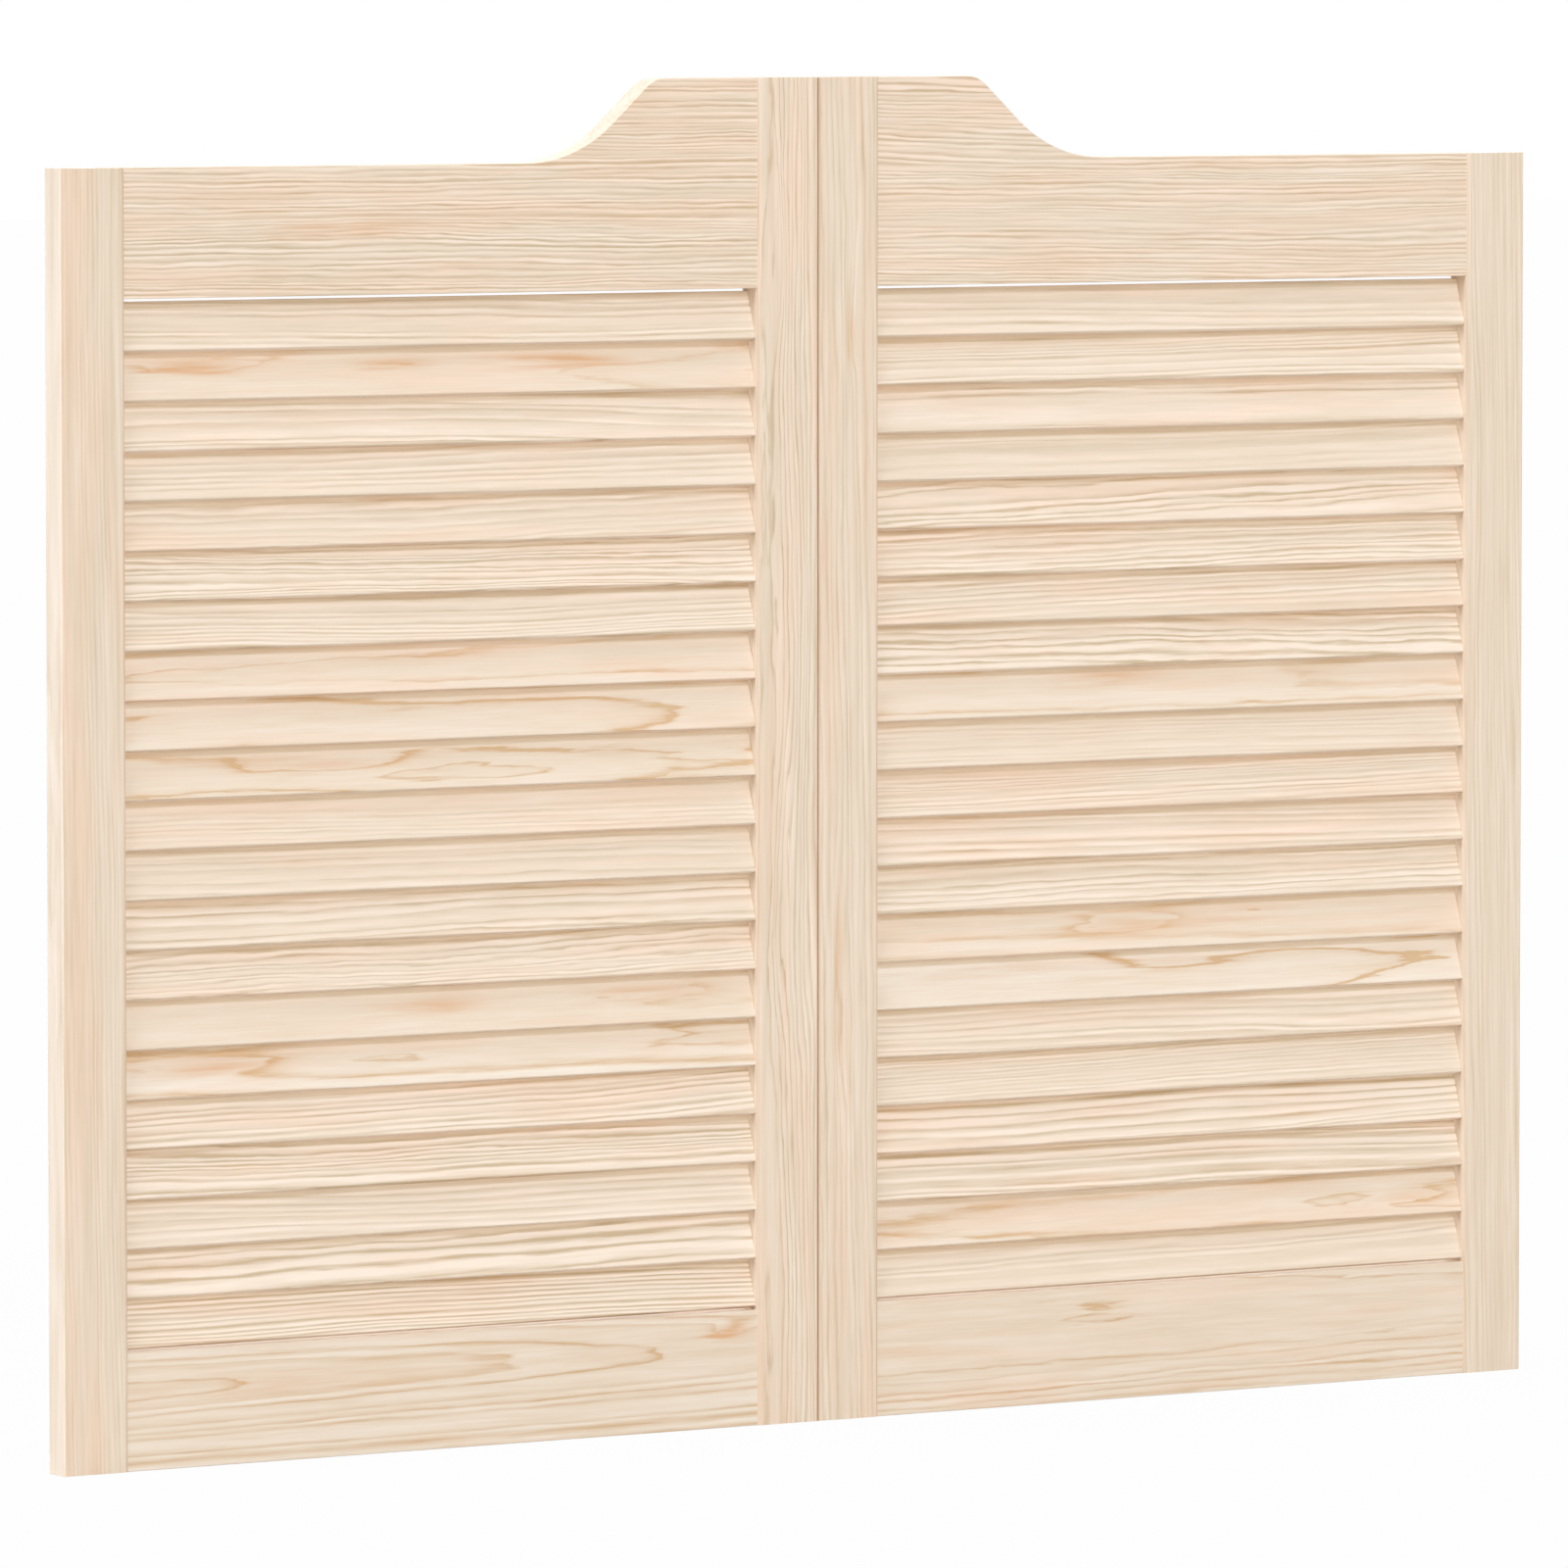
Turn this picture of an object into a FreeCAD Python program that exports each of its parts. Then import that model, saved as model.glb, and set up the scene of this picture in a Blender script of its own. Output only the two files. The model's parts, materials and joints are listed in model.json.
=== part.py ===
"""Cafe swinging doors: a pair of louvred pine leaves on double-acting pivots let into their stiles.

Millimetres. +Z is up, the front faces -Y, and the origin is at the foot of the pair, midway across its
width and its thickness. A leaf is built with x = 0 at its hinge edge and x = leaf_width at its meeting
edge. The left leaf is then moved into place, and the right leaf is its mirror image.
"""
import FreeCAD, Part
import math
import os

Vector = FreeCAD.Vector

# One leaf
leaf_width = 534.75
hinge_side_height = 779.0
crown_rise = 51.0            # how much higher the meeting side stands
meeting_gap = 0.5            # between the two leaves when they are shut

# Stiles
stile_width = 44.5
stile_thickness = 19.0
inner_arris_radius = 3.0     # the rounded long edges beside the slats
outer_arris_radius = 0.9     # at the hinge edge
meeting_arris_radius = 1.2

# Rails
rail_thickness = 16.8
bottom_rail_height = 71.6
top_rail_height = 78.0       # over the hinge side, below the sweep
rail_edge_radius = 0.6

# Swept top edge, from the meeting edge outwards
crown_length = 110.5
crown_radius = 20.0
sweep_foot_radius = 92.0
sweep_slope = 42.0           # degrees, of the straight between the two arcs

# Slats
slat_count = 21
slat_width = 30.5
slat_thickness = 6.0
slat_edge_radius = 0.8
slat_tilt = 17.5             # degrees from upright, lower edge forwards
slat_foot_gap = 0.95         # lowest slat over the bottom rail
slat_head_gap = 1.8          # highest slat under the top rail
groove_depth = 6.0
groove_clearance = 0.1
slat_end_gap = 0.3

# Dowels, two at each end of each rail
dowel_diameter = 8.0
dowel_length = 30.0
dowel_chamfer = 1.0
dowel_edge_distance = 18.0   # from a rail's edge to a dowel's axis
dowel_clearance = 0.05       # on the radius
dowel_end_gap = 0.5
pivot_web = 2.25             # wood left between a dowel and the pivot's bore

# Pivots, at the foot and the head of each hinge stile
socket_diameter = 6.0        # takes the stud of a bracket on the doorway
socket_depth = 26.0
socket_chamfer = 0.5
socket_wall = 1.5
running_clearance = 0.05     # on the radius, spindle in bush
bush_wall = 1.95
bush_length = 30.0
bush_interference = 0.02     # on the radius, bush in stile
head_thickness = 4.0
head_clearance = 0.3         # on the radius, spindle head in the stile's bore
head_chamfer = 0.4
shoulder_length = 2.0        # of shank past the bush
spigot_length = 8.0
upper_float = 0.3            # upper bush clear of its spindle's head
bore_end_gap = 2.0

# Closing springs, wound round the lower spindles' spigots
spring_wire = 2.0
spring_turns = 10
spring_pitch = 2.4
spring_bore_clearance = 0.7
spring_spigot_clearance = 0.4
spring_slot_clearance = 0.2
spring_head_gap = 0.8
spring_tang_length = 8.0
tang_knee = 0.05             # how much the bend at a tang swells over the wire

# Sizes that follow from those above
meeting_side_height = hinge_side_height + crown_rise
underside_height = hinge_side_height - top_rail_height
inner_hinge_x = stile_width
inner_meeting_x = leaf_width - stile_width
tilt = math.radians(slat_tilt)
slat_rise = ((slat_width - 2 * slat_edge_radius) * math.cos(tilt)
             + (slat_thickness - 2 * slat_edge_radius) * math.sin(tilt) + 2 * slat_edge_radius)
lowest_slat = bottom_rail_height + slat_foot_gap + slat_rise / 2
highest_slat = underside_height - slat_head_gap - slat_rise / 2
slat_pitch = (highest_slat - lowest_slat) / (slat_count - 1)

pivot_x = stile_width / 2
shank_radius = socket_diameter / 2 + socket_wall
bush_bore_radius = shank_radius + running_clearance
pivot_bore_radius = bush_bore_radius + bush_wall
dowel_in_stile = stile_width - pivot_x - pivot_bore_radius - pivot_web
dowel_in_rail = dowel_length - dowel_in_stile

coil_radius = pivot_bore_radius - spring_bore_clearance - spring_wire / 2
spigot_radius = coil_radius - spring_wire / 2 - spring_spigot_clearance
shank_end = head_thickness + bush_length + shoulder_length
spigot_end = shank_end + spigot_length
slot_width = spring_wire + 2 * spring_slot_clearance
slot_bottom = shank_end + spring_slot_clearance + spring_wire / 2
coil_start = slot_bottom + spring_slot_clearance + spring_wire / 2
coil_end = coil_start + spring_turns * spring_pitch
lower_bore_depth = coil_end + spring_wire / 2 + spring_head_gap
upper_bore_depth = spigot_end + bore_end_gap

across = Vector(1, 0, 0)
up = Vector(0, 0, 1)
lying_across = FreeCAD.Rotation(Vector(1, 1, 1), 120)    # turns x, y, z into y, z, x


def corner_arc(centre, radius, start_degrees, turn_degrees=90.0):
    """An arc in the plane z = 0, given by its centre, radius, start angle and turn."""
    points = []
    for share in (0.0, 0.5, 1.0):
        angle = math.radians(start_degrees + share * turn_degrees)
        points.append(centre + Vector(radius * math.cos(angle), radius * math.sin(angle), 0))
    return Part.Arc(*points).toShape()


def rounded_section(x_low, x_high, y_low, y_high, low_radius, high_radius):
    """A rectangle's face in the plane z = 0, with one corner radius at each end of its x range."""
    corners = (
        (x_high, y_high, high_radius, -1, -1, 0.0),
        (x_low, y_high, low_radius, 1, -1, 90.0),
        (x_low, y_low, low_radius, 1, 1, 180.0),
        (x_high, y_low, high_radius, -1, 1, 270.0),
    )
    arcs = []
    for x, y, radius, x_way, y_way, start in corners:
        arcs.append(corner_arc(Vector(x + x_way * radius, y + y_way * radius, 0), radius, start))
    edges = []
    for arc, following in zip(arcs, arcs[1:] + arcs[:1]):
        edges.append(arc)
        edges.append(Part.makeLine(arc.lastVertex().Point, following.firstVertex().Point))
    return Part.Face(Part.Wire(Part.__sortEdges__(edges)))


def along_x(shape, x_start, height):
    """Lays a shape that was extruded along z across the leaf, centred on a height."""
    shape.Placement = FreeCAD.Placement(Vector(x_start, 0, height), lying_across)
    return shape


def plain_stile(x_low, height, low_radius, high_radius):
    half = stile_thickness / 2
    section = rounded_section(x_low, x_low + stile_width, -half, half, low_radius, high_radius)
    return section.extrude(up * height)


def plain_hinge_stile():
    return plain_stile(0.0, hinge_side_height, outer_arris_radius, inner_arris_radius)


def plain_meeting_stile():
    return plain_stile(inner_meeting_x, meeting_side_height, inner_arris_radius, meeting_arris_radius)


def slat_heights():
    return [highest_slat - index * slat_pitch for index in range(slat_count)]


def slat_bar(x_low, x_high, height, clearance):
    """A slat, or with a clearance the groove that takes its end."""
    half_thickness = slat_thickness / 2 + clearance
    half_width = slat_width / 2 + clearance
    radius = slat_edge_radius + clearance
    section = rounded_section(-half_thickness, half_thickness, -half_width, half_width, radius, radius)
    bar = along_x(section.extrude(up * (x_high - x_low)), x_low, height)
    bar.rotate(Vector(0, 0, height), across, -slat_tilt)
    return bar


def slats():
    x_low = inner_hinge_x - groove_depth + slat_end_gap
    x_high = inner_meeting_x + groove_depth - slat_end_gap
    return [slat_bar(x_low, x_high, height, 0.0) for height in slat_heights()]


def grooves(x_low, x_high):
    return [slat_bar(x_low, x_high, height, groove_clearance) for height in slat_heights()]


def dowel_heights():
    """Heights of the dowels at the hinge side and at the meeting side, foot to head."""
    bottom_pair = [dowel_edge_distance, bottom_rail_height - dowel_edge_distance]
    top_low = underside_height + dowel_edge_distance
    hinge_side = bottom_pair + [top_low, hinge_side_height - dowel_edge_distance]
    meeting_side = bottom_pair + [top_low, meeting_side_height - dowel_edge_distance]
    return hinge_side, meeting_side


def dowel_rod(joint_x, way, height, radius, end_gap):
    """A rod across the joint of a stile and a rail; way is +1 where the rail lies towards +X."""
    start = Vector(joint_x - way * (dowel_in_stile + end_gap), 0, height)
    return Part.makeCylinder(radius, dowel_length + 2 * end_gap, start, across * way)


def dowel_joints():
    hinge_side, meeting_side = dowel_heights()
    joints = [(inner_hinge_x, 1, height) for height in hinge_side]
    joints += [(inner_meeting_x, -1, height) for height in meeting_side]
    return joints


def dowels():
    rods = []
    for joint_x, way, height in dowel_joints():
        rod = dowel_rod(joint_x, way, height, dowel_diameter / 2, 0.0)
        rims = [edge for edge in rod.Edges if edge.Curve.TypeId == "Part::GeomCircle"]
        rods.append(rod.makeChamfer(dowel_chamfer, rims))
    return Part.makeCompound(rods)


def dowel_holes():
    radius = dowel_diameter / 2 + dowel_clearance
    return [dowel_rod(x, way, height, radius, dowel_end_gap) for x, way, height in dowel_joints()]


def pivot_bores():
    """The stile's bores from both its ends, with the hole for the spring's upper tang."""
    foot = Vector(pivot_x, 0, 0)
    head = Vector(pivot_x, 0, hinge_side_height)
    tang = Vector(pivot_x + coil_radius, 0, lower_bore_depth)
    return [
        Part.makeCylinder(pivot_bore_radius, lower_bore_depth, foot, up),
        Part.makeCylinder(pivot_bore_radius, upper_bore_depth, head, -up),
        Part.makeCylinder(slot_width / 2, spring_tang_length, tang, up),
    ]


def hinge_stile():
    cuts = grooves(inner_hinge_x - groove_depth, inner_hinge_x + groove_depth)
    return plain_hinge_stile().cut(cuts + dowel_holes() + pivot_bores())


def meeting_stile():
    cuts = grooves(inner_meeting_x - groove_depth, inner_meeting_x + groove_depth)
    return plain_meeting_stile().cut(cuts + dowel_holes())


def finished_rail(blank):
    """Fits a rail's blank to the rounded edges of both stiles and drills it for the dowels."""
    return blank.cut([plain_hinge_stile(), plain_meeting_stile()] + dowel_holes())


def rail_x_range():
    return inner_hinge_x - inner_arris_radius, inner_meeting_x + inner_arris_radius


def bottom_rail():
    x_low, x_high = rail_x_range()
    half = rail_thickness / 2
    section = rounded_section(-half, half, 0.0, bottom_rail_height, rail_edge_radius, rail_edge_radius)
    return finished_rail(along_x(section.extrude(up * (x_high - x_low)), x_low, 0.0))


def sweep_edges():
    """The flat crown, the S of the sweep and the low flat, drawn with height as y."""
    x_low, x_high = rail_x_range()
    slope = math.radians(sweep_slope)
    both_radii = crown_radius + sweep_foot_radius
    straight = (crown_rise - both_radii * (1 - math.cos(slope))) / math.sin(slope)
    crown_x = leaf_width - crown_length
    foot_x = crown_x - both_radii * math.sin(slope) - straight * math.cos(slope)
    crown_centre = Vector(crown_x, meeting_side_height - crown_radius, 0)
    foot_centre = Vector(foot_x, hinge_side_height + sweep_foot_radius, 0)
    crown_arc = corner_arc(crown_centre, crown_radius, 90.0, sweep_slope)
    foot_arc = corner_arc(foot_centre, sweep_foot_radius, 270.0 + sweep_slope, -sweep_slope)
    return [
        Part.makeLine(Vector(x_high, meeting_side_height, 0), crown_arc.firstVertex().Point),
        crown_arc,
        Part.makeLine(crown_arc.lastVertex().Point, foot_arc.firstVertex().Point),
        foot_arc,
        Part.makeLine(foot_arc.lastVertex().Point, Vector(x_low, hinge_side_height, 0)),
    ]


def top_rail():
    x_low, x_high = rail_x_range()
    low_corner = Vector(x_low, underside_height, 0)
    high_corner = Vector(x_high, underside_height, 0)
    edges = sweep_edges()
    edges.append(Part.makeLine(edges[-1].lastVertex().Point, low_corner))
    edges.append(Part.makeLine(low_corner, high_corner))
    edges.append(Part.makeLine(high_corner, edges[0].firstVertex().Point))
    board = Part.Face(Part.Wire(edges)).extrude(up * rail_thickness)
    board.rotate(Vector(0, 0, 0), across, 90)
    board.translate(Vector(0, rail_thickness / 2, 0))
    return finished_rail(eased_board(board, x_low, x_high))


def eased_board(board, x_low, x_high):
    """Rounds the board's long arrises, front and back, but not those of its two ends."""
    arrises = []
    for edge in board.Edges:
        box = edge.BoundBox
        at_an_end = box.XMax < x_low + inner_arris_radius or box.XMin > x_high - inner_arris_radius
        if box.YLength < rail_edge_radius and not at_an_end:
            arrises.append(edge)
    return board.makeFillet(rail_edge_radius, arrises)


def spindle():
    """A pivot's fixed spindle, standing on z = 0 with its socket open downwards."""
    origin = Vector(0, 0, 0)
    head_radius = pivot_bore_radius - head_clearance
    socket_radius = socket_diameter / 2
    head = Part.makeCylinder(head_radius, head_thickness, origin, up)
    rims = [edge for edge in head.Edges if edge.Curve.TypeId == "Part::GeomCircle"]
    head = head.makeChamfer(head_chamfer, [edge for edge in rims if edge.BoundBox.ZMax < head_chamfer])
    shank = Part.makeCylinder(shank_radius, shank_end, origin, up)
    spigot = Part.makeCylinder(spigot_radius, spigot_end, origin, up)
    socket = Part.makeCylinder(socket_radius, socket_depth, origin, up)
    mouth = Part.makeCone(socket_radius + socket_chamfer, socket_radius, socket_chamfer, origin, up)
    slot_corner = Vector(-shank_radius, -slot_width / 2, slot_bottom)
    slot = Part.makeBox(2 * shank_radius, slot_width, spigot_end - slot_bottom, slot_corner)
    return head.fuse([shank, spigot]).removeSplitter().cut([socket, mouth, slot])


def bush():
    """A pivot's bush, standing where the leaf's weight brings it down on the spindle's head."""
    base = Vector(0, 0, head_thickness)
    body = Part.makeCylinder(pivot_bore_radius + bush_interference, bush_length, base, up)
    return body.cut(Part.makeCylinder(bush_bore_radius, bush_length, base, up))


def at_foot(shape):
    shape.translate(Vector(pivot_x, 0, 0))
    return shape


def at_head(shape, drop=0.0):
    shape.rotate(Vector(0, 0, 0), across, 180)
    shape.translate(Vector(pivot_x, 0, hinge_side_height - drop))
    return shape


def pivot_spindles():
    return Part.makeCompound([at_foot(spindle()), at_head(spindle())])


def pivot_bushes():
    return Part.makeCompound([at_foot(bush()), at_head(bush(), upper_float)])


def closing_spring():
    """A torsion spring: its lower tang lies in the spindle's slot, its upper one stands in the stile."""
    wire_radius = spring_wire / 2
    first_knee = Vector(coil_radius, 0, coil_start)
    last_knee = Vector(coil_radius, 0, coil_end)
    helix = Part.makeHelix(spring_pitch, coil_end - coil_start, coil_radius)
    helix.translate(Vector(0, 0, coil_start))
    lead = math.atan2(spring_pitch, 2 * math.pi * coil_radius)
    along_wire = Vector(0, math.cos(lead), math.sin(lead))
    profile = Part.Wire(Part.makeCircle(wire_radius, first_knee, along_wire))
    coil = Part.Wire(helix.Edges).makePipeShell([profile], True, True)
    inward = Part.makeCylinder(wire_radius, coil_radius + spigot_radius / 2, first_knee, -across)
    tang_length = spring_tang_length + spring_head_gap
    upward = Part.makeCylinder(wire_radius, tang_length, last_knee, up)
    knees = [Part.makeSphere(wire_radius + tang_knee, knee) for knee in (first_knee, last_knee)]
    return at_foot(coil.fuse([inward, upward] + knees))


def leaf_nodes():
    """Every node of one leaf, by the name it has without its side."""
    nodes = {
        "hinge_stile": hinge_stile(),
        "meeting_stile": meeting_stile(),
        "top_rail": top_rail(),
        "bottom_rail": bottom_rail(),
        "dowels": dowels(),
        "pivot_bushes": pivot_bushes(),
        "pivot_spindles": pivot_spindles(),
        "closing_spring": closing_spring(),
    }
    for number, slat in enumerate(slats(), start=1):
        nodes[f"slat_{number:02d}"] = slat
    return nodes


def main():
    os.makedirs("parts", exist_ok=True)
    for name, shape in leaf_nodes().items():
        shape.translate(Vector(-leaf_width - meeting_gap / 2, 0, 0))
        shape.exportStep(f"parts/left_{name}.step")
        mirrored = shape.mirror(Vector(0, 0, 0), across)
        mirrored.exportStep(f"parts/right_{name}.step")
    print(f"slat pitch {slat_pitch:.2f} mm, dowels {dowel_in_stile:.2f} mm into the stiles")


main()
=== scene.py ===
# Cafe swinging doors: the finish of every board and fitting, the studio and the camera, in metres.
import json
import math
import random

import bpy
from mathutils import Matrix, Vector


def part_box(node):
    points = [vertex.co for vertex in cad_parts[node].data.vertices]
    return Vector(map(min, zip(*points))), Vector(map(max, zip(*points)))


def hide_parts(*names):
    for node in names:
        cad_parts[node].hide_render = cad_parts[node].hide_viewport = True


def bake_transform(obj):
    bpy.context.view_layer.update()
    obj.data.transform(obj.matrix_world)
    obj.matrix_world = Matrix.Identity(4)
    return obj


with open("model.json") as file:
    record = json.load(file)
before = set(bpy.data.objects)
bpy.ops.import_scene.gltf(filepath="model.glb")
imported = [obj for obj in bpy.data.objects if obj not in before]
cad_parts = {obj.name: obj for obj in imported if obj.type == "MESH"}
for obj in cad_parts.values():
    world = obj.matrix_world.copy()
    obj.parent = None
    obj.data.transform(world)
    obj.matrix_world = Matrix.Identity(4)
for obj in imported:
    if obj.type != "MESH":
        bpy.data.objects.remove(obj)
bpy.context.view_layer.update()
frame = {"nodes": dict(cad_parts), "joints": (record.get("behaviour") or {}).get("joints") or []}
print("frame loaded:", len(frame["nodes"]), "nodes")

sides = ("left", "right")
slatNames = [f"slat_{number:02d}" for number in range(1, 22)]


def screenColour(red, green, blue):
    # an 8-bit screen colour as the linear values that sockets hold
    linear = []
    for value in (red, green, blue):
        share = value / 255
        linear.append(share / 12.92 if share <= 0.04045 else ((share + 0.055) / 1.055) ** 2.4)
    return (*linear, 1.0)


class Wire:
    # a socket that sums are written with; each sum adds its Math node
    def __init__(self, graph, socket):
        self.graph = graph
        self.socket = socket

    def math(self, operation, *others):
        return self.graph.add("ShaderNodeMath", {"operation": operation}, dict(enumerate((self, *others))))

    def __add__(self, other):
        return self.math("ADD", other)

    def __sub__(self, other):
        return self.math("SUBTRACT", other)

    def __mul__(self, other):
        return self.math("MULTIPLY", other)

    def __truediv__(self, other):
        return self.math("DIVIDE", other)

    def __pow__(self, other):
        return self.math("POWER", other)

    def __neg__(self):
        return self.math("MULTIPLY", -1.0)

    def __rsub__(self, other):
        return self.graph.add("ShaderNodeMath", {"operation": "SUBTRACT"}, {0: other, 1: self})

    __radd__ = __add__
    __rmul__ = __mul__

    def squared(self):
        return self * self

    def between(self, low, high):
        # 0 below low, 1 above high, smooth between
        values = {"Value": self, "From Min": low, "From Max": high}
        return self.graph.add("ShaderNodeMapRange", {"interpolation_type": "SMOOTHSTEP"}, values)


class Graph:
    # the nodes of a material or of the world
    def __init__(self, owner):
        owner.use_nodes = True
        self.owner = owner
        self.tree = owner.node_tree

    def add(self, kind, settings=None, values=None, output=0):
        node = self.tree.nodes.new(kind)
        for key, value in (settings or {}).items():
            setattr(node, key, value)
        for key, value in (values or {}).items():
            self.feed(node.inputs[key], value)
        return Wire(self, node.outputs[output])

    def feed(self, socket, value):
        if isinstance(value, Wire):
            self.tree.links.new(value.socket, socket)
        else:
            socket.default_value = value

    def mix(self, share, first, second):
        # two colours; Mix keeps a socket of each kind, so the colour ones go by number
        return self.add("ShaderNodeMix", {"data_type": "RGBA"}, {0: share, 6: first, 7: second}, 2)

    def place(self, output="Object"):
        return self.add("ShaderNodeTexCoord", output=output)

    def vector(self, *parts):
        return self.add("ShaderNodeCombineXYZ", values=dict(enumerate(parts)))

    def split(self, vector):
        node = self.add("ShaderNodeSeparateXYZ", values={0: vector}).socket.node
        return [Wire(self, socket) for socket in node.outputs]

    def noise(self, vector, lengths, seed, detail=2.0):
        # soft noise about 0, with one wavelength for each axis of the vector
        scale = tuple(1 / length for length in lengths)
        stretched = self.add("ShaderNodeVectorMath", {"operation": "MULTIPLY_ADD"},
                             {0: vector, 1: scale, 2: (seed, seed * 0.37, seed * 0.71)})
        values = {"Vector": stretched, "Scale": 1.0, "Detail": detail, "Roughness": 0.55}
        return self.add("ShaderNodeTexNoise", values=values) - 0.5

    def surface(self, values, bumpHeight, bumpDistance, bumpStrength):
        finish = self.tree.nodes["Principled BSDF"]
        for key, value in values.items():
            self.feed(finish.inputs[key], value)
        bumped = self.add("ShaderNodeBump", values={
            "Height": bumpHeight, "Distance": bumpDistance, "Strength": bumpStrength})
        self.feed(finish.inputs["Normal"], bumped)
        return self.owner


def dressNode(name, material):
    node = frame["nodes"][name]
    node.data.materials.clear()
    node.data.materials.append(material)


# Pine. Lengths are in millimetres: along the grain, across the face and through the board
pine = {
    "cream": (238, 218, 196),
    "pink": (241, 214, 190),
    "resin": (226, 176, 130),        # knots and resin stains
    "endGrain": (218, 188, 152),
    "paintedCornerShade": (196, 134, 84),   # painted shade: brown standing in for the shade on rounded corners in the middle and beside the rails
    "brown": (-0.29, -0.295, -0.325),    # what the dense wood at a year's end adds to each channel
    "orange": (-0.20, -0.30, -0.37),     # the same in boards cut along the rings
    "roughness": 0.62,
    "lineGloss": 0.04,               # dense wood is this much smoother
    "specular": 0.3,
    "bump": {"fibre": 0.6, "lines": 0.3, "distance": 0.00025, "strength": 0.35},

    # what a board's own draw may give
    "seed": (0.0, 90.0),
    "leanAcross": (-0.016, 0.016),
    "leanThrough": (-0.02, 0.02),
    "ringWidth": (3.2, 5.8),
    "drift": (4.0, 11.0),
    "ripple": (1.2, 3.2),
    "faint": (0.5, 0.8),             # strength of the lines
    "plain": (1.0, 1.5),
    "bold": (1.6, 2.2),
    "pinkness": (-0.1, 0.5),
    "paleness": (-0.02, 0.03),
    "slatDusk": 0.02,                # taken off the paleness
    "boardDusk": 0.09,
    "slatClouds": 0.38,
    "boardClouds": 0.65,

    # where each surface starts and ends, by how far it faces one way
    "edge": (0.6, 0.95),
    "upperEdge": (0.4, 0.6),
    "end": (0.75, 0.98),
    # range of the painted shade on rounded corners, by how far they turn sideways
    "paintedShadeStart": (0.15, 0.5),
    "paintedShadeEnd": (0.85, 0.97),
}

# Noises in the wood: wavelengths, a shift of the board's seed, and how many finer layers
pineNoises = {
    "drift": ((380.0, 60.0, 60.0), 0.0, 1.0),
    "ripple": ((80.0, 10.0, 10.0), 5.0, 3.0),
    "clouds": ((110.0, 6.0, 6.0), 31.0, 2.0),
    "fade": ((70.0, 4.0, 4.0), 17.0, 3.0),
    "fibre": ((34.0, 1.3, 1.3), 11.0, 3.0),
    "hue": ((140.0, 14.0, 14.0), 23.0, 2.0),
}

# The lines of growth
growth = {
    "driftInwards": 0.6,             # of the drift across the face
    "paceLengths": (18.0, 1.0, 1.0),     # how soon good and lean years follow each other
    "paceSwing": 5.0,                # in years
    "lineShare": 0.35,               # of a year's width, where the board is cut square to its rings
    "thinnest": 0.05,
    "after": {"width": 0.42, "strength": 0.8},   # the line's sharp side, at the start of the next year
    "dusk": {"pace": 4.5, "below": 0.5},         # slow darkening through a year whose line is narrow
    "mean": 1.15,                    # taken off, so that lines leave a board's mean colour alone
    "year": {"swing": 0.7, "least": 0.35},       # strength of single years
    "fade": {"swing": 3.2, "mean": 0.85, "least": 0.1},
    "upperEdgeFade": 0.75,           # lines hardly show on the upper edges
}

# How growth and fibre become colour
tone = {
    "lines": 0.70,
    "fibre": 0.46,
    "palest": -0.32,
    "darkest": 0.75,
    "hue": 2.6,                      # swing between cream and pink
    "sideHighlightCream": 1.2,                # painted highlight: the uprights' sides are made creamier and paler than their faces, standing in for the whitish light on their lit sides
    "sideHighlightPale": 0.08,
    "end": 0.35,                     # share of the end grain's colour on the ends
    "mottle": {"clouds": 3.6, "ripple": 0.25, "dusk": 1.5, "plain": 0.55},
    "stainLimit": 0.9,
}

# How noise bends the outlines of knots
knotBend = {"rippleAlong": 6.0, "cloudsAlong": 50.0, "cloudsAcross": 9.0}

# How a board lies in the log: the pith's distance across the face and through the board
cuts = {
    "quarter": {"across": (70.0, 150.0), "through": (0.0, 14.0)},
    "rift": {"across": (38.0, 70.0), "through": (30.0, 60.0)},
    "flat": {"across": (0.0, 9.0), "through": (26.0, 60.0)},
}

# Boards with hardly any lines and with strong ones
faintBoards = (
    "left_slat_02", "left_slat_11", "left_slat_12",
    "right_slat_04", "right_slat_09", "right_slat_10", "right_slat_21")
boldBoards = (
    "left_slat_06", "left_slat_09", "left_slat_17", "left_slat_18", "left_slat_20", "left_slat_21",
    "right_slat_03", "right_slat_05", "right_slat_08", "right_slat_15", "right_slat_18", "right_slat_19")


def drawBoard(name, **chosen):
    # a board's own growth, drawn from its name and then overruled by what is chosen
    dice = random.Random(name)
    cut = dice.choice(("quarter", "quarter", "rift"))
    cut = chosen.get("cut", cut)
    strength = "faint" if name in faintBoards else "bold" if name in boldBoards else "plain"
    group = "slat" if "slat" in name else "board"
    look = {
        "seed": dice.uniform(*pine["seed"]),
        "pithAcross": dice.choice((-1, 1)) * dice.uniform(*cuts[cut]["across"]),
        "pithThrough": dice.choice((-1, 1)) * dice.uniform(*cuts[cut]["through"]),
        "leanAcross": dice.uniform(*pine["leanAcross"]),
        "leanThrough": dice.uniform(*pine["leanThrough"]),
        "ringWidth": dice.uniform(*pine["ringWidth"]),
        "drift": dice.uniform(*pine["drift"]),
        "ripple": dice.uniform(*pine["ripple"]),
        "lines": dice.uniform(*pine[strength]),
        "darkening": pine["orange"] if cut == "flat" else pine["brown"],
        "pinkness": dice.uniform(*pine["pinkness"]),
        "pinkLean": 0.0,
        "clouds": pine[group + "Clouds"],
        "paleness": dice.uniform(*pine["paleness"]) - pine[group + "Dusk"],
        "knots": (),
        "paintedShadeLeft": 0.0,
        "paintedShadeRight": 0.0,
    }
    look.update(chosen)
    return look


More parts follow.
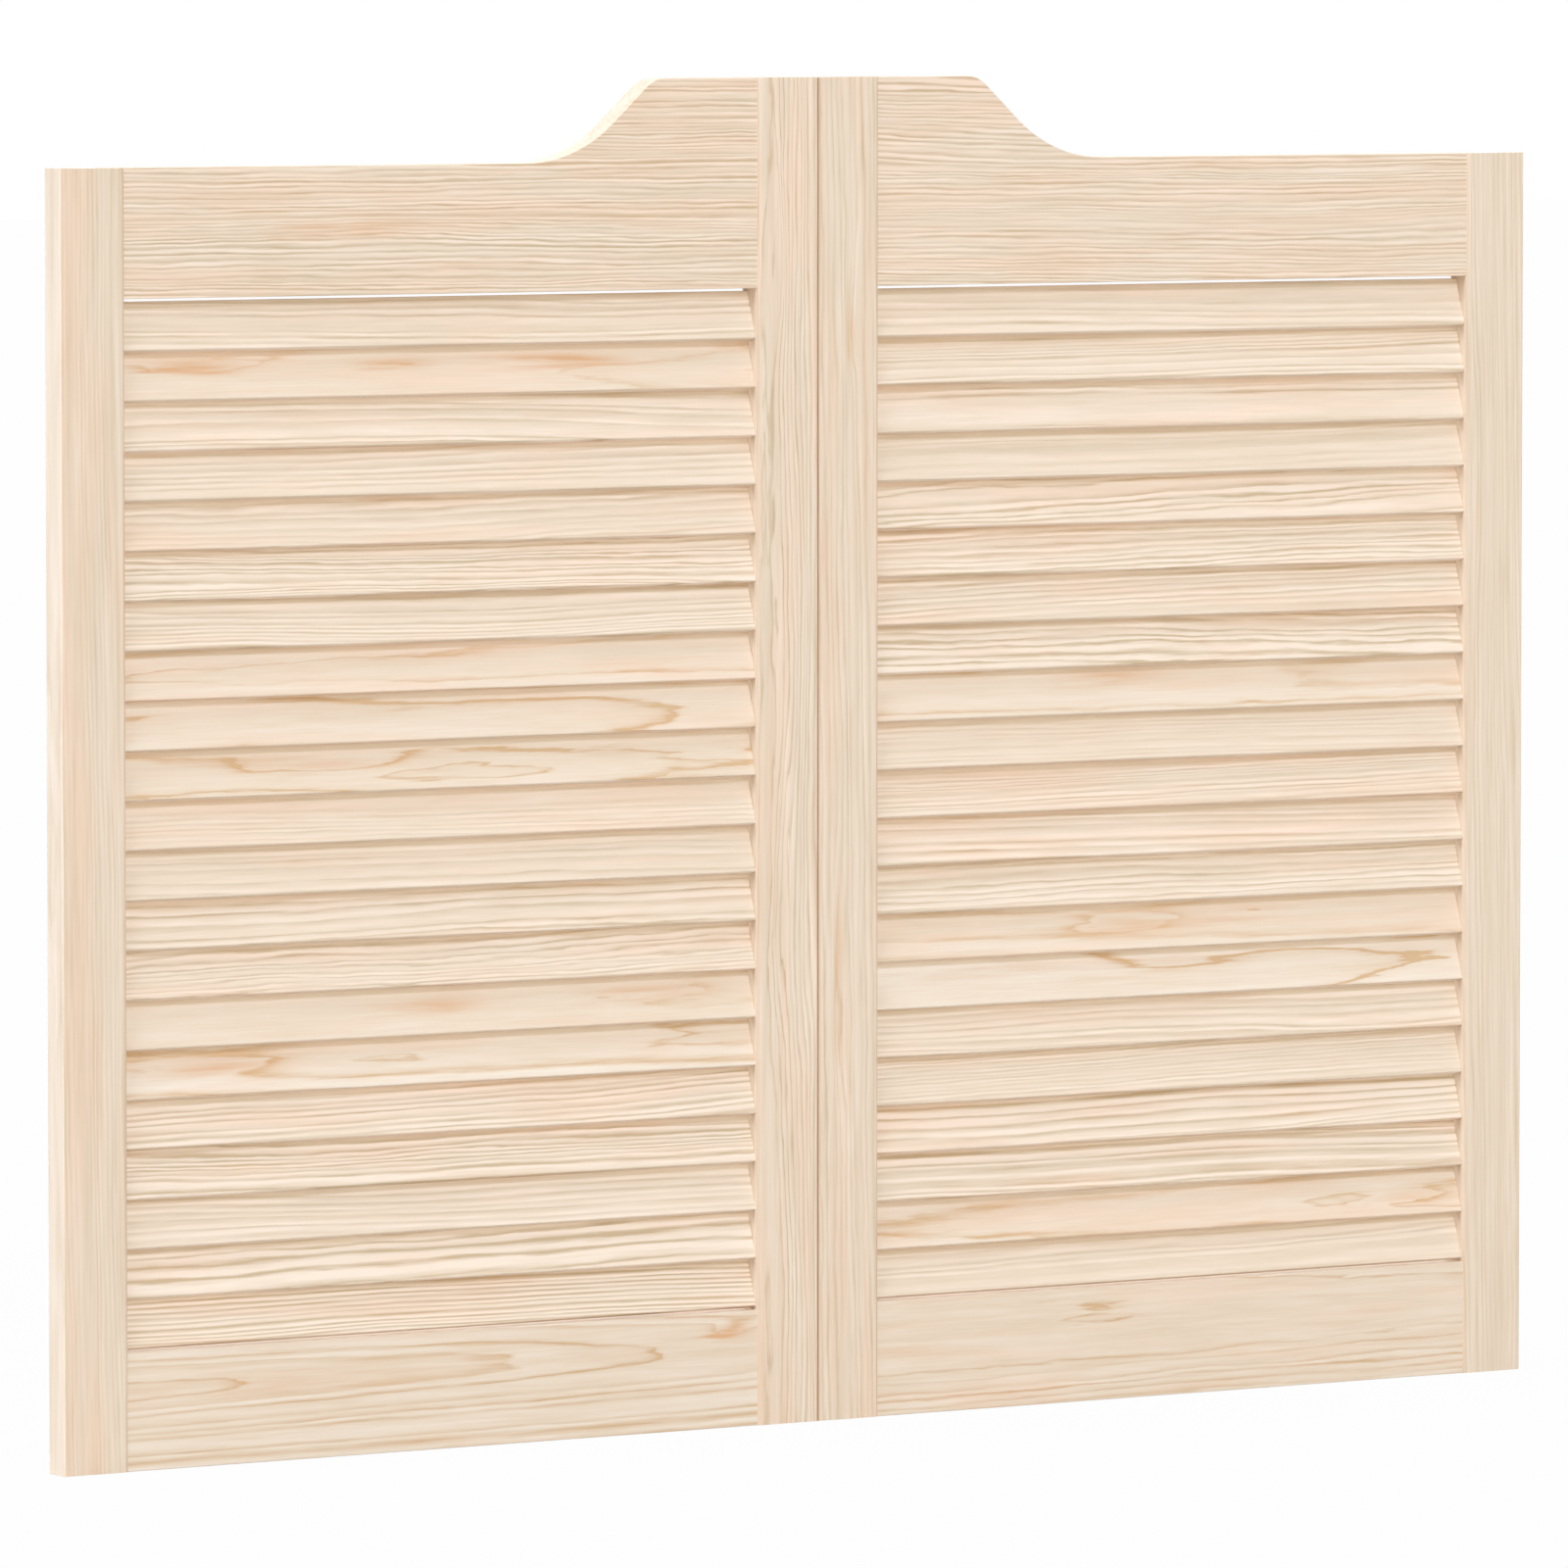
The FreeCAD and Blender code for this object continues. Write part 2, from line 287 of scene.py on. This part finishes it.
def pineMaterial(name, look, centre, grainAxis, tilt=0.0):
    graph = Graph(bpy.data.materials.new(name))
    x, y, z = [part * 1000.0 for part in graph.split(graph.place())]
    normalX, _, normalZ = graph.split(graph.place("Normal"))
    if grainAxis == "z":
        along, across, through = z - centre.z * 1000, x - centre.x * 1000, y
        endFacing = normalZ.math("ABSOLUTE")
    else:
        rise, along = z - centre.z * 1000, x - centre.x * 1000
        across = rise * math.cos(tilt) + y * math.sin(tilt)
        through = y * math.cos(tilt) - rise * math.sin(tilt)
        endFacing = normalX.math("ABSOLUTE")
    grain = graph.vector(along, across, through)

    def pineNoise(kind):
        lengths, shift, detail = pineNoises[kind]
        return graph.noise(grain, lengths, look["seed"] + shift, detail)

    drift = pineNoise("drift") * look["drift"] * 2
    ripple = pineNoise("ripple") * look["ripple"] * 2
    clouds = pineNoise("clouds")
    knotRise = None
    stain = None
    for knot in look["knots"]:
        bentAlong = along + ripple * knotBend["rippleAlong"] + clouds * knotBend["cloudsAlong"]
        bentAcross = across + ripple + clouds * knotBend["cloudsAcross"]
        distance = ((bentAlong - knot["along"]) / knot["length"]).squared()
        distance = distance + ((bentAcross - knot["across"]) / knot["width"]).squared()
        swell = (-distance).math("EXPONENT")
        rise = swell * knot["rise"]
        colour = swell * knot["stain"]
        knotRise = rise if knotRise is None else knotRise + rise
        stain = colour if stain is None else stain + colour

    # years of growth: distance from the pith, bent by drift, ripples and knots
    sideways = across + drift + along * look["leanAcross"] - look["pithAcross"]
    inwards = through + drift * growth["driftInwards"] + along * look["leanThrough"] - look["pithThrough"]
    radius = (sideways.squared() + inwards.squared()) ** 0.5 + ripple
    if knotRise is not None:
        radius = radius + knotRise
    pace = graph.noise(graph.vector(radius, look["seed"], 0.0), growth["paceLengths"], look["seed"])
    years = radius / look["ringWidth"] + pace * growth["paceSwing"]
    season = years.math("FRACT")
    yearDice = graph.add("ShaderNodeTexWhiteNoise", {"noise_dimensions": "1D"},
                         {"W": years.math("FLOOR") + look["seed"]}, "Value")

    # a year ends in a dark line, thin where the cut runs along the rings, and the next starts pale
    width = sideways.math("ABSOLUTE") / radius * growth["lineShare"] + growth["thinnest"]
    line = (-((1.0 - season) / width).squared()).math("EXPONENT")
    after = (-(season / (width * growth["after"]["width"])).squared()).math("EXPONENT")
    after = after * growth["after"]["strength"]
    narrow = (growth["dusk"]["below"] - width).math("MAXIMUM", 0.0)
    dusk = ((season - 1.0) * growth["dusk"]["pace"]).math("EXPONENT") * narrow
    fade = pineNoise("fade") * growth["fade"]["swing"] + growth["fade"]["mean"]
    fade = fade.math("MAXIMUM", growth["fade"]["least"])
    if grainAxis == "x":
        fade = fade * (1.0 - normalZ.between(*pine["upperEdge"]) * growth["upperEdgeFade"])
    lines = line.math("MAXIMUM", after) - width * growth["mean"] + dusk
    yearStrength = yearDice * growth["year"]["swing"] + growth["year"]["least"]
    lines = lines * yearStrength * fade * look["lines"]

    # darker and paler than the plain colour
    fibre = pineNoise("fibre")
    depth = lines * tone["lines"] + clouds * look["clouds"] + fibre * tone["fibre"] - look["paleness"]
    depth = depth.math("MAXIMUM", tone["palest"]).math("MINIMUM", tone["darkest"])
    pinkness = pineNoise("hue") * tone["hue"] + across * look["pinkLean"] + look["pinkness"]
    # painted highlight: the uprights' sides turn creamier and paler, as if lit
    if grainAxis == "z":
        sideHighlightMask = normalX.math("ABSOLUTE").between(*pine["edge"])
        pinkness = pinkness - sideHighlightMask * tone["sideHighlightCream"]
        depth = depth - sideHighlightMask * tone["sideHighlightPale"]
    colour = graph.mix(pinkness.between(0.0, 1.0), screenColour(*pine["cream"]), screenColour(*pine["pink"]))
    colour = graph.add("ShaderNodeVectorMath", {"operation": "MULTIPLY_ADD"},
                       {0: depth, 1: look["darkening"], 2: colour})
    if stain is not None:
        mottle = tone["mottle"]
        patches = clouds * mottle["clouds"] + ripple * mottle["ripple"] + dusk * mottle["dusk"]
        patches = (patches + mottle["plain"]).math("MAXIMUM", 0.0)
        stained = (stain * patches).math("MINIMUM", tone["stainLimit"])
        colour = graph.mix(stained, colour, screenColour(*pine["resin"]))
    colour = graph.mix(endFacing.between(*pine["end"]) * tone["end"], colour, screenColour(*pine["endGrain"]))
    # painted shade: brown on the rounded corners turned left or right, where shade falls in the middle and
    # beside the rails
    for turned, strength in ((-normalX, look["paintedShadeLeft"]), (normalX, look["paintedShadeRight"])):
        if strength:
            corner = turned.between(*pine["paintedShadeStart"]) * (1.0 - turned.between(*pine["paintedShadeEnd"]))
            colour = graph.mix(corner * strength, colour, screenColour(*pine["paintedCornerShade"]))

    bump = pine["bump"]
    values = {"Base Color": colour, "Roughness": pine["roughness"] - lines * pine["lineGloss"],
              "Specular IOR Level": pine["specular"]}
    height = fibre * bump["fibre"] - lines * bump["lines"]
    return graph.surface(values, height, bump["distance"], bump["strength"])


def knot(along, across, length, width, rise, stain=0.0):
    return {"along": along, "across": across, "length": length, "width": width, "rise": rise, "stain": stain}


# Boards whose growth stands out, and the strength of the painted shade on the stiles' rounded corners; knots
# are placed from the board's middle
chosenBoards = {
    "left_hinge_stile": {"lines": 0.5, "ringWidth": 3.4, "pinkness": 0.5, "pinkLean": -0.02, "paintedShadeRight": 0.2},
    "left_meeting_stile": {
        "lines": 1.0, "ringWidth": 2.7, "cut": "flat", "darkening": pine["brown"], "pithThrough": -36.0,
        "pithAcross": -17.0, "leanThrough": 0.006, "pinkness": 0.35, "paintedShadeLeft": 0.2, "paintedShadeRight": 0.42,
        "knots": (knot(300, -8, 50, 7, -5), knot(-80, -4, 70, 8, 4))},
    "right_meeting_stile": {
        "lines": 0.6, "ringWidth": 3.4, "cut": "rift", "pinkness": 0.3, "paintedShadeLeft": 0.42, "paintedShadeRight": 0.2,
        "knots": (knot(-116, -7, 36, 4, 4, 0.4), knot(-190, -7, 30, 4, 3, 0.4), knot(270, 4, 40, 3, 3, 0.3))},
    "right_hinge_stile": {"lines": 0.5, "ringWidth": 3.2, "pinkness": -0.1, "paintedShadeLeft": 0.2},
    "left_top_rail": {
        "lines": 1.6, "ringWidth": 3.0, "ripple": 3.0, "pinkness": 0.5,
        "knots": (knot(-70, -22, 60, 7, 2, 0.5),)},
    "right_top_rail": {"lines": 1.5, "ringWidth": 3.0, "ripple": 2.6, "pinkness": 0.5},
    "right_bottom_rail": {"cut": "flat", "lines": 1.2, "ringWidth": 3.6, "pinkness": 0.2, "pithAcross": 12.0},
    "left_slat_02": {"cut": "flat", "knots": (
        knot(-174, 5, 40, 4, 2, 1.2), knot(-28, 4, 26, 4, -2, 0.9), knot(84, 5, 46, 4, 2, 1.2))},
    "left_slat_08": {"cut": "flat", "ringWidth": 4.2, "drift": 12.0},
    "left_slat_09": {"cut": "flat", "ringWidth": 4.2, "drift": 13.0, "lines": 1.5},
    "left_slat_10": {"cut": "flat", "ringWidth": 4.4, "drift": 8.0, "knots": (
        knot(-85, 3, 60, 6, 3, 0.6), knot(20, -6, 90, 9, -4))},
    "left_slat_15": {"cut": "flat", "lines": 0.7, "knots": (
        knot(0, 2, 34, 5, 2, 0.7), knot(148, 4, 40, 4, 2, 0.8))},
    "left_slat_16": {"cut": "flat", "ringWidth": 4.4, "knots": (
        knot(-149, 3, 50, 5, 3, 0.5), knot(-60, -2, 60, 8, -4))},
    "left_bottom_rail": {
        "cut": "flat", "ringWidth": 5.2, "lines": 1.15, "pithAcross": 13.0, "pithThrough": -25.0,
        "leanAcross": 0.004, "leanThrough": 0.03, "drift": 5.0, "ripple": 1.6,
        "knots": (knot(206, 25, 14, 5, 4, 0.9), knot(-90, 12, 130, 7, 0, 0.3))},
    "right_slat_09": {"cut": "flat", "knots": (knot(-38, 8, 44, 5, 2, 0.5),)},
    "right_slat_14": {"cut": "flat", "lines": 0.8, "knots": (
        knot(-30, 2, 50, 6, 3, 0.5), knot(60, 5, 30, 4, -3, 0.5))},
    "right_slat_15": {"cut": "flat", "knots": (knot(0, 4, 70, 8, 4, 0.15),)},
    "right_slat_20": {"cut": "flat", "knots": (knot(184, -3, 30, 4, 2, 0.5),)},
}


def dressBoard(name, grainAxis, tilt=0.0):
    low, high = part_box(name)
    look = drawBoard(name, **chosenBoards.get(name, {}))
    dressNode(name, pineMaterial("pine_" + name, look, (low + high) / 2, grainAxis, tilt))


slatTilt = math.radians(17.5)
for side in sides:
    for part in ("hinge_stile", "meeting_stile"):
        dressBoard(f"{side}_{part}", "z")
    for part in ("top_rail", "bottom_rail"):
        dressBoard(f"{side}_{part}", "x")
    for part in slatNames:
        dressBoard(f"{side}_{part}", "x", slatTilt)
print("boards finished")


# Fittings
fittings = {
    "brass": {"colour": (196, 158, 84), "dull": (150, 116, 58), "roughness": 0.30},
    "steel": {"colour": (176, 176, 180), "dull": (120, 121, 126), "roughness": 0.28},
    "springWire": {"colour": (92, 92, 98), "dull": (52, 50, 50), "roughness": 0.36},
    "beech": {"colour": (214, 178, 136), "dull": (182, 140, 98), "roughness": 0.66},
}

# Turned metal: the lathe's marks, in millimetres, and tarnish, in metres
turning = {
    "markLengths": (0.18, 1.0, 0.22),    # outwards from the axis and up it; the middle one has no effect
    "tarnishLengths": (0.006, 0.006, 0.006),
    "markShare": 0.5,
    "tarnishShare": 1.2,
    "middle": 0.3,
    "tarnishRoughness": 0.16,
    "bumpDistance": 0.00004,
    "bumpStrength": 0.4,
}

# Beech, in metres along the rod and across it
beechGrain = {
    "streakLengths": (0.02, 0.0009, 0.0009),
    "fleckLengths": (0.0016, 0.0003, 0.0003),
    "fleckRange": (0.12, 0.22),
    "streakShare": 1.8,
    "fleckShare": 0.6,
    "middle": 0.3,
    "bumpDistance": 0.0001,
    "bumpStrength": 0.3,
}


def turnedMetal(name, look, axisX):
    # rings left by the lathe on end faces, and fine bands round the sides
    graph = Graph(bpy.data.materials.new(name))
    x, y, z = [part * 1000.0 for part in graph.split(graph.place())]
    radius = ((x - axisX * 1000).squared() + y.squared()) ** 0.5
    marks = graph.noise(graph.vector(radius, 0.0, z), turning["markLengths"], 3.0, 1.0)
    tarnish = graph.noise(graph.place(), turning["tarnishLengths"], 8.0)
    dulled = marks * turning["markShare"] + tarnish * turning["tarnishShare"] + turning["middle"]
    colour = graph.mix(dulled.between(0.0, 1.0), screenColour(*look["colour"]), screenColour(*look["dull"]))
    roughness = tarnish * turning["tarnishRoughness"] + look["roughness"]
    values = {"Base Color": colour, "Metallic": 1.0, "Roughness": roughness}
    return graph.surface(values, marks, turning["bumpDistance"], turning["bumpStrength"])


def beechMaterial(name):
    look = fittings["beech"]
    graph = Graph(bpy.data.materials.new(name))
    grain = graph.place()
    streaks = graph.noise(grain, beechGrain["streakLengths"], 2.0, 3.0)
    flecks = graph.noise(grain, beechGrain["fleckLengths"], 6.0).between(*beechGrain["fleckRange"])
    dulled = streaks * beechGrain["streakShare"] + flecks * beechGrain["fleckShare"] + beechGrain["middle"]
    colour = graph.mix(dulled.between(0.0, 1.0), screenColour(*look["colour"]), screenColour(*look["dull"]))
    values = {"Base Color": colour, "Roughness": look["roughness"]}
    return graph.surface(values, streaks - flecks, beechGrain["bumpDistance"], beechGrain["bumpStrength"])


pivotX = {joint["name"].split("_")[0]: joint["pos_m"][0] for joint in frame["joints"]}
beech = beechMaterial("beech_dowels")
for side in sides:
    dressNode(f"{side}_dowels", beech)
    dressNode(f"{side}_pivot_bushes", turnedMetal(f"brass_{side}", fittings["brass"], pivotX[side]))
    dressNode(f"{side}_pivot_spindles", turnedMetal(f"steel_{side}", fittings["steel"], pivotX[side]))


# Closing springs, which wind up between the still spindle and the turning leaf
spring = {
    "wire": 0.0010,              # radius of the wire
    "coil": 0.0048,              # radius of the coil's middle line
    "start": 0.0384,
    "pitch": 0.0024,
    "turns": 10,
    "lowerTang": 0.0064,
    "upperTang": 0.0080,
    "bend": 0.0012,              # radius of the bend into each tang
    "bendSteps": 6,
    "bendSink": 0.04,            # of the pitch, lost from the coil's end into the upper bend
    "stepsPerTurn": 40,
    "wireSides": 16,
}
springTop = spring["start"] + spring["turns"] * spring["pitch"]
tangShares = (0, 0.5, 1)


def springLine(hand):
    # middle line of the wire, from the tang in the spindle's slot to the tang in the stile
    coil, bend, start = spring["coil"], spring["bend"], spring["start"]
    bendAngles = [step / spring["bendSteps"] * math.pi / 2 for step in range(1, spring["bendSteps"])]
    tangEnd = coil - spring["lowerTang"]
    line = [Vector((tangEnd + share * (coil - bend - tangEnd), 0, start)) for share in tangShares]
    for angle in bendAngles:
        line.append(Vector((coil - bend + bend * math.sin(angle), bend * (1 - math.cos(angle)), start)))
    first = bend / coil
    count = spring["turns"] * spring["stepsPerTurn"]
    for step in range(count + 1):
        angle = first + step / count * (2 * math.pi * spring["turns"] - 2 * first)
        height = start + (angle - first) / (2 * math.pi) * spring["pitch"]
        line.append(Vector((coil * math.cos(angle), coil * math.sin(angle), height)))
    bendFoot = springTop - spring["pitch"] * spring["bendSink"]
    for angle in bendAngles:
        line.append(Vector((coil, -bend * (1 - math.sin(angle)), bendFoot + bend * (1 - math.cos(angle)))))
    for share in tangShares:
        line.append(Vector((coil, 0, springTop + bend + share * (spring["upperTang"] - bend))))
    return [Vector((point.x * hand, point.y, point.z)) for point in line]


def wireMesh(name, line, radius, sideCount):
    # a closed tube, its section carried along the line without twisting
    points, faces = [], []
    ahead = (line[1] - line[0]).normalized()
    side = ahead.orthogonal().normalized()
    for index, centre in enumerate(line):
        before, after = line[max(index - 1, 0)], line[min(index + 1, len(line) - 1)]
        ahead = (after - before).normalized()
        side = (side - ahead * side.dot(ahead)).normalized()
        other = ahead.cross(side)
        for corner in range(sideCount):
            angle = 2 * math.pi * corner / sideCount
            points.append(centre + radius * (math.cos(angle) * side + math.sin(angle) * other))
    for index in range(len(line) - 1):
        for corner in range(sideCount):
            following = (corner + 1) % sideCount
            low, high = index * sideCount, (index + 1) * sideCount
            faces.append((low + corner, low + following, high + following, high + corner))
    faces.append(tuple(reversed(range(sideCount))))
    last = (len(line) - 1) * sideCount
    faces.append(tuple(range(last, last + sideCount)))
    mesh = bpy.data.meshes.new(name)
    mesh.from_pydata(points, [], faces)
    mesh.polygons.foreach_set("use_smooth", [len(face) == 4 for face in faces])
    return bpy.data.objects.new(name, mesh)


for side, hand in zip(sides, (1, -1)):
    coilSpring = wireMesh(f"{side}SpringWire", springLine(hand), spring["wire"], spring["wireSides"])
    bpy.context.scene.collection.objects.link(coilSpring)
    coilSpring.location.x = pivotX[side]
    bpy.context.view_layer.update()
    coilSpring.data.materials.append(turnedMetal(f"springWire_{side}", fittings["springWire"], pivotX[side]))
    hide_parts(f"{side}_closing_spring")
    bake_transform(coilSpring)
print("fittings finished")


# Studio: white floor that keeps a soft shadow, even light from all round, a head-on key and a rim light
studio = {
    "floorSize": 60.0,
    "floorDrop": 0.0004,
    "floorWhite": 0.55,
    "floorGlow": 0.97,           # share of plain white that the camera sees in the floor
    "skyLight": (0.325, 0.250, 0.135),
}

# Lamps far away: the way towards each, its share of a white sheet's brightness, tint, and width in degrees
lamps = {
    "key": {"towards": (0.03, -0.824, 0.566), "share": 0.272, "tint": (0.88, 1.01, 1.32), "width": 9.0},
    "fill": {"towards": (-0.15, -0.98, 0.15), "share": 0.310, "tint": (0.99, 1.07, 0.97), "width": 42.0},
    "rim": {"towards": (-0.72, 0.0, 0.69), "share": 0.82, "tint": (0.95, 1.09, 1.30), "width": 50.0},
    "back": {"towards": (0.45, 0.85, 0.25), "share": 0.45, "tint": (0.97, 1.03, 1.12), "width": 50.0},
}

floorMesh = bpy.data.meshes.new("floor")
half = studio["floorSize"] / 2
corners = [(-half, -half, 0), (half, -half, 0), (half, half, 0), (-half, half, 0)]
floorMesh.from_pydata(corners, [], [(0, 1, 2, 3)])
floor = bpy.data.objects.new("floor", floorMesh)
floor.location.z = -studio["floorDrop"]
bpy.context.scene.collection.objects.link(floor)


def seenDirectly(graph):
    # 1 for rays that carry the picture: camera, glossy and transmitted ones
    node = graph.add("ShaderNodeLightPath").socket.node
    camera, glossy, transmitted = [
        Wire(graph, node.outputs[key]) for key in ("Is Camera Ray", "Is Glossy Ray", "Is Transmission Ray")]
    return (camera + glossy + transmitted).math("MINIMUM", 1.0)


white = (1.0, 1.0, 1.0, 1.0)
floorGraph = Graph(bpy.data.materials.new("paleFloor"))
glow = floorGraph.add("ShaderNodeEmission", values={"Color": white, "Strength": 1.0})
matt = floorGraph.add("ShaderNodeBsdfDiffuse", values={"Color": (*[studio["floorWhite"]] * 3, 1.0)})
floorShare = seenDirectly(floorGraph) * studio["floorGlow"]
floorLook = floorGraph.add("ShaderNodeMixShader", values={0: floorShare, 1: matt, 2: glow})
floorGraph.feed(floorGraph.tree.nodes["Material Output"].inputs["Surface"], floorLook)
floorMesh.materials.append(floorGraph.owner)

world = bpy.data.worlds.new("studio")
bpy.context.scene.world = world
worldGraph = Graph(world)
sky = worldGraph.mix(seenDirectly(worldGraph), (*studio["skyLight"], 1.0), white)
worldGraph.feed(worldGraph.tree.nodes["Background"].inputs["Color"], sky)

for name, lampLook in lamps.items():
    light = bpy.data.lights.new(name, "SUN")
    light.energy = math.pi * lampLook["share"]
    light.color = lampLook["tint"]
    light.angle = math.radians(lampLook["width"])
    lamp = bpy.data.objects.new(name, light)
    lamp.rotation_euler = Vector(lampLook["towards"]).to_track_quat("Z", "Y").to_euler()
    bpy.context.scene.collection.objects.link(lamp)
print("studio ready")


# Camera
view = {
    "turn": -32.756,             # degrees round from the front, towards the hinge side of the left leaf
    "rise": 3.771,               # degrees above level
    "distance": 7.9025,
    "target": (-0.0192, 0.0, 0.3950),
    "lens": 294.4,               # millimetres, as the sensor's width is
    "sensorWidth": 36.0,
    "clipEnd": 200.0,
}
turn, rise = math.radians(view["turn"]), math.radians(view["rise"])
outwards = Vector((math.sin(turn) * math.cos(rise), -math.cos(turn) * math.cos(rise), math.sin(rise)))
cameraData = bpy.data.cameras.new("camera")
cameraData.lens = view["lens"]
cameraData.sensor_width = view["sensorWidth"]
cameraData.clip_end = view["clipEnd"]
camera = bpy.data.objects.new("camera", cameraData)
camera.location = Vector(view["target"]) + outwards * view["distance"]
camera.rotation_euler = (-outwards).to_track_quat("-Z", "Y").to_euler()
bpy.context.scene.collection.objects.link(camera)
bpy.context.scene.camera = camera
bpy.context.scene.view_settings.view_transform = "Standard"
print("camera placed")
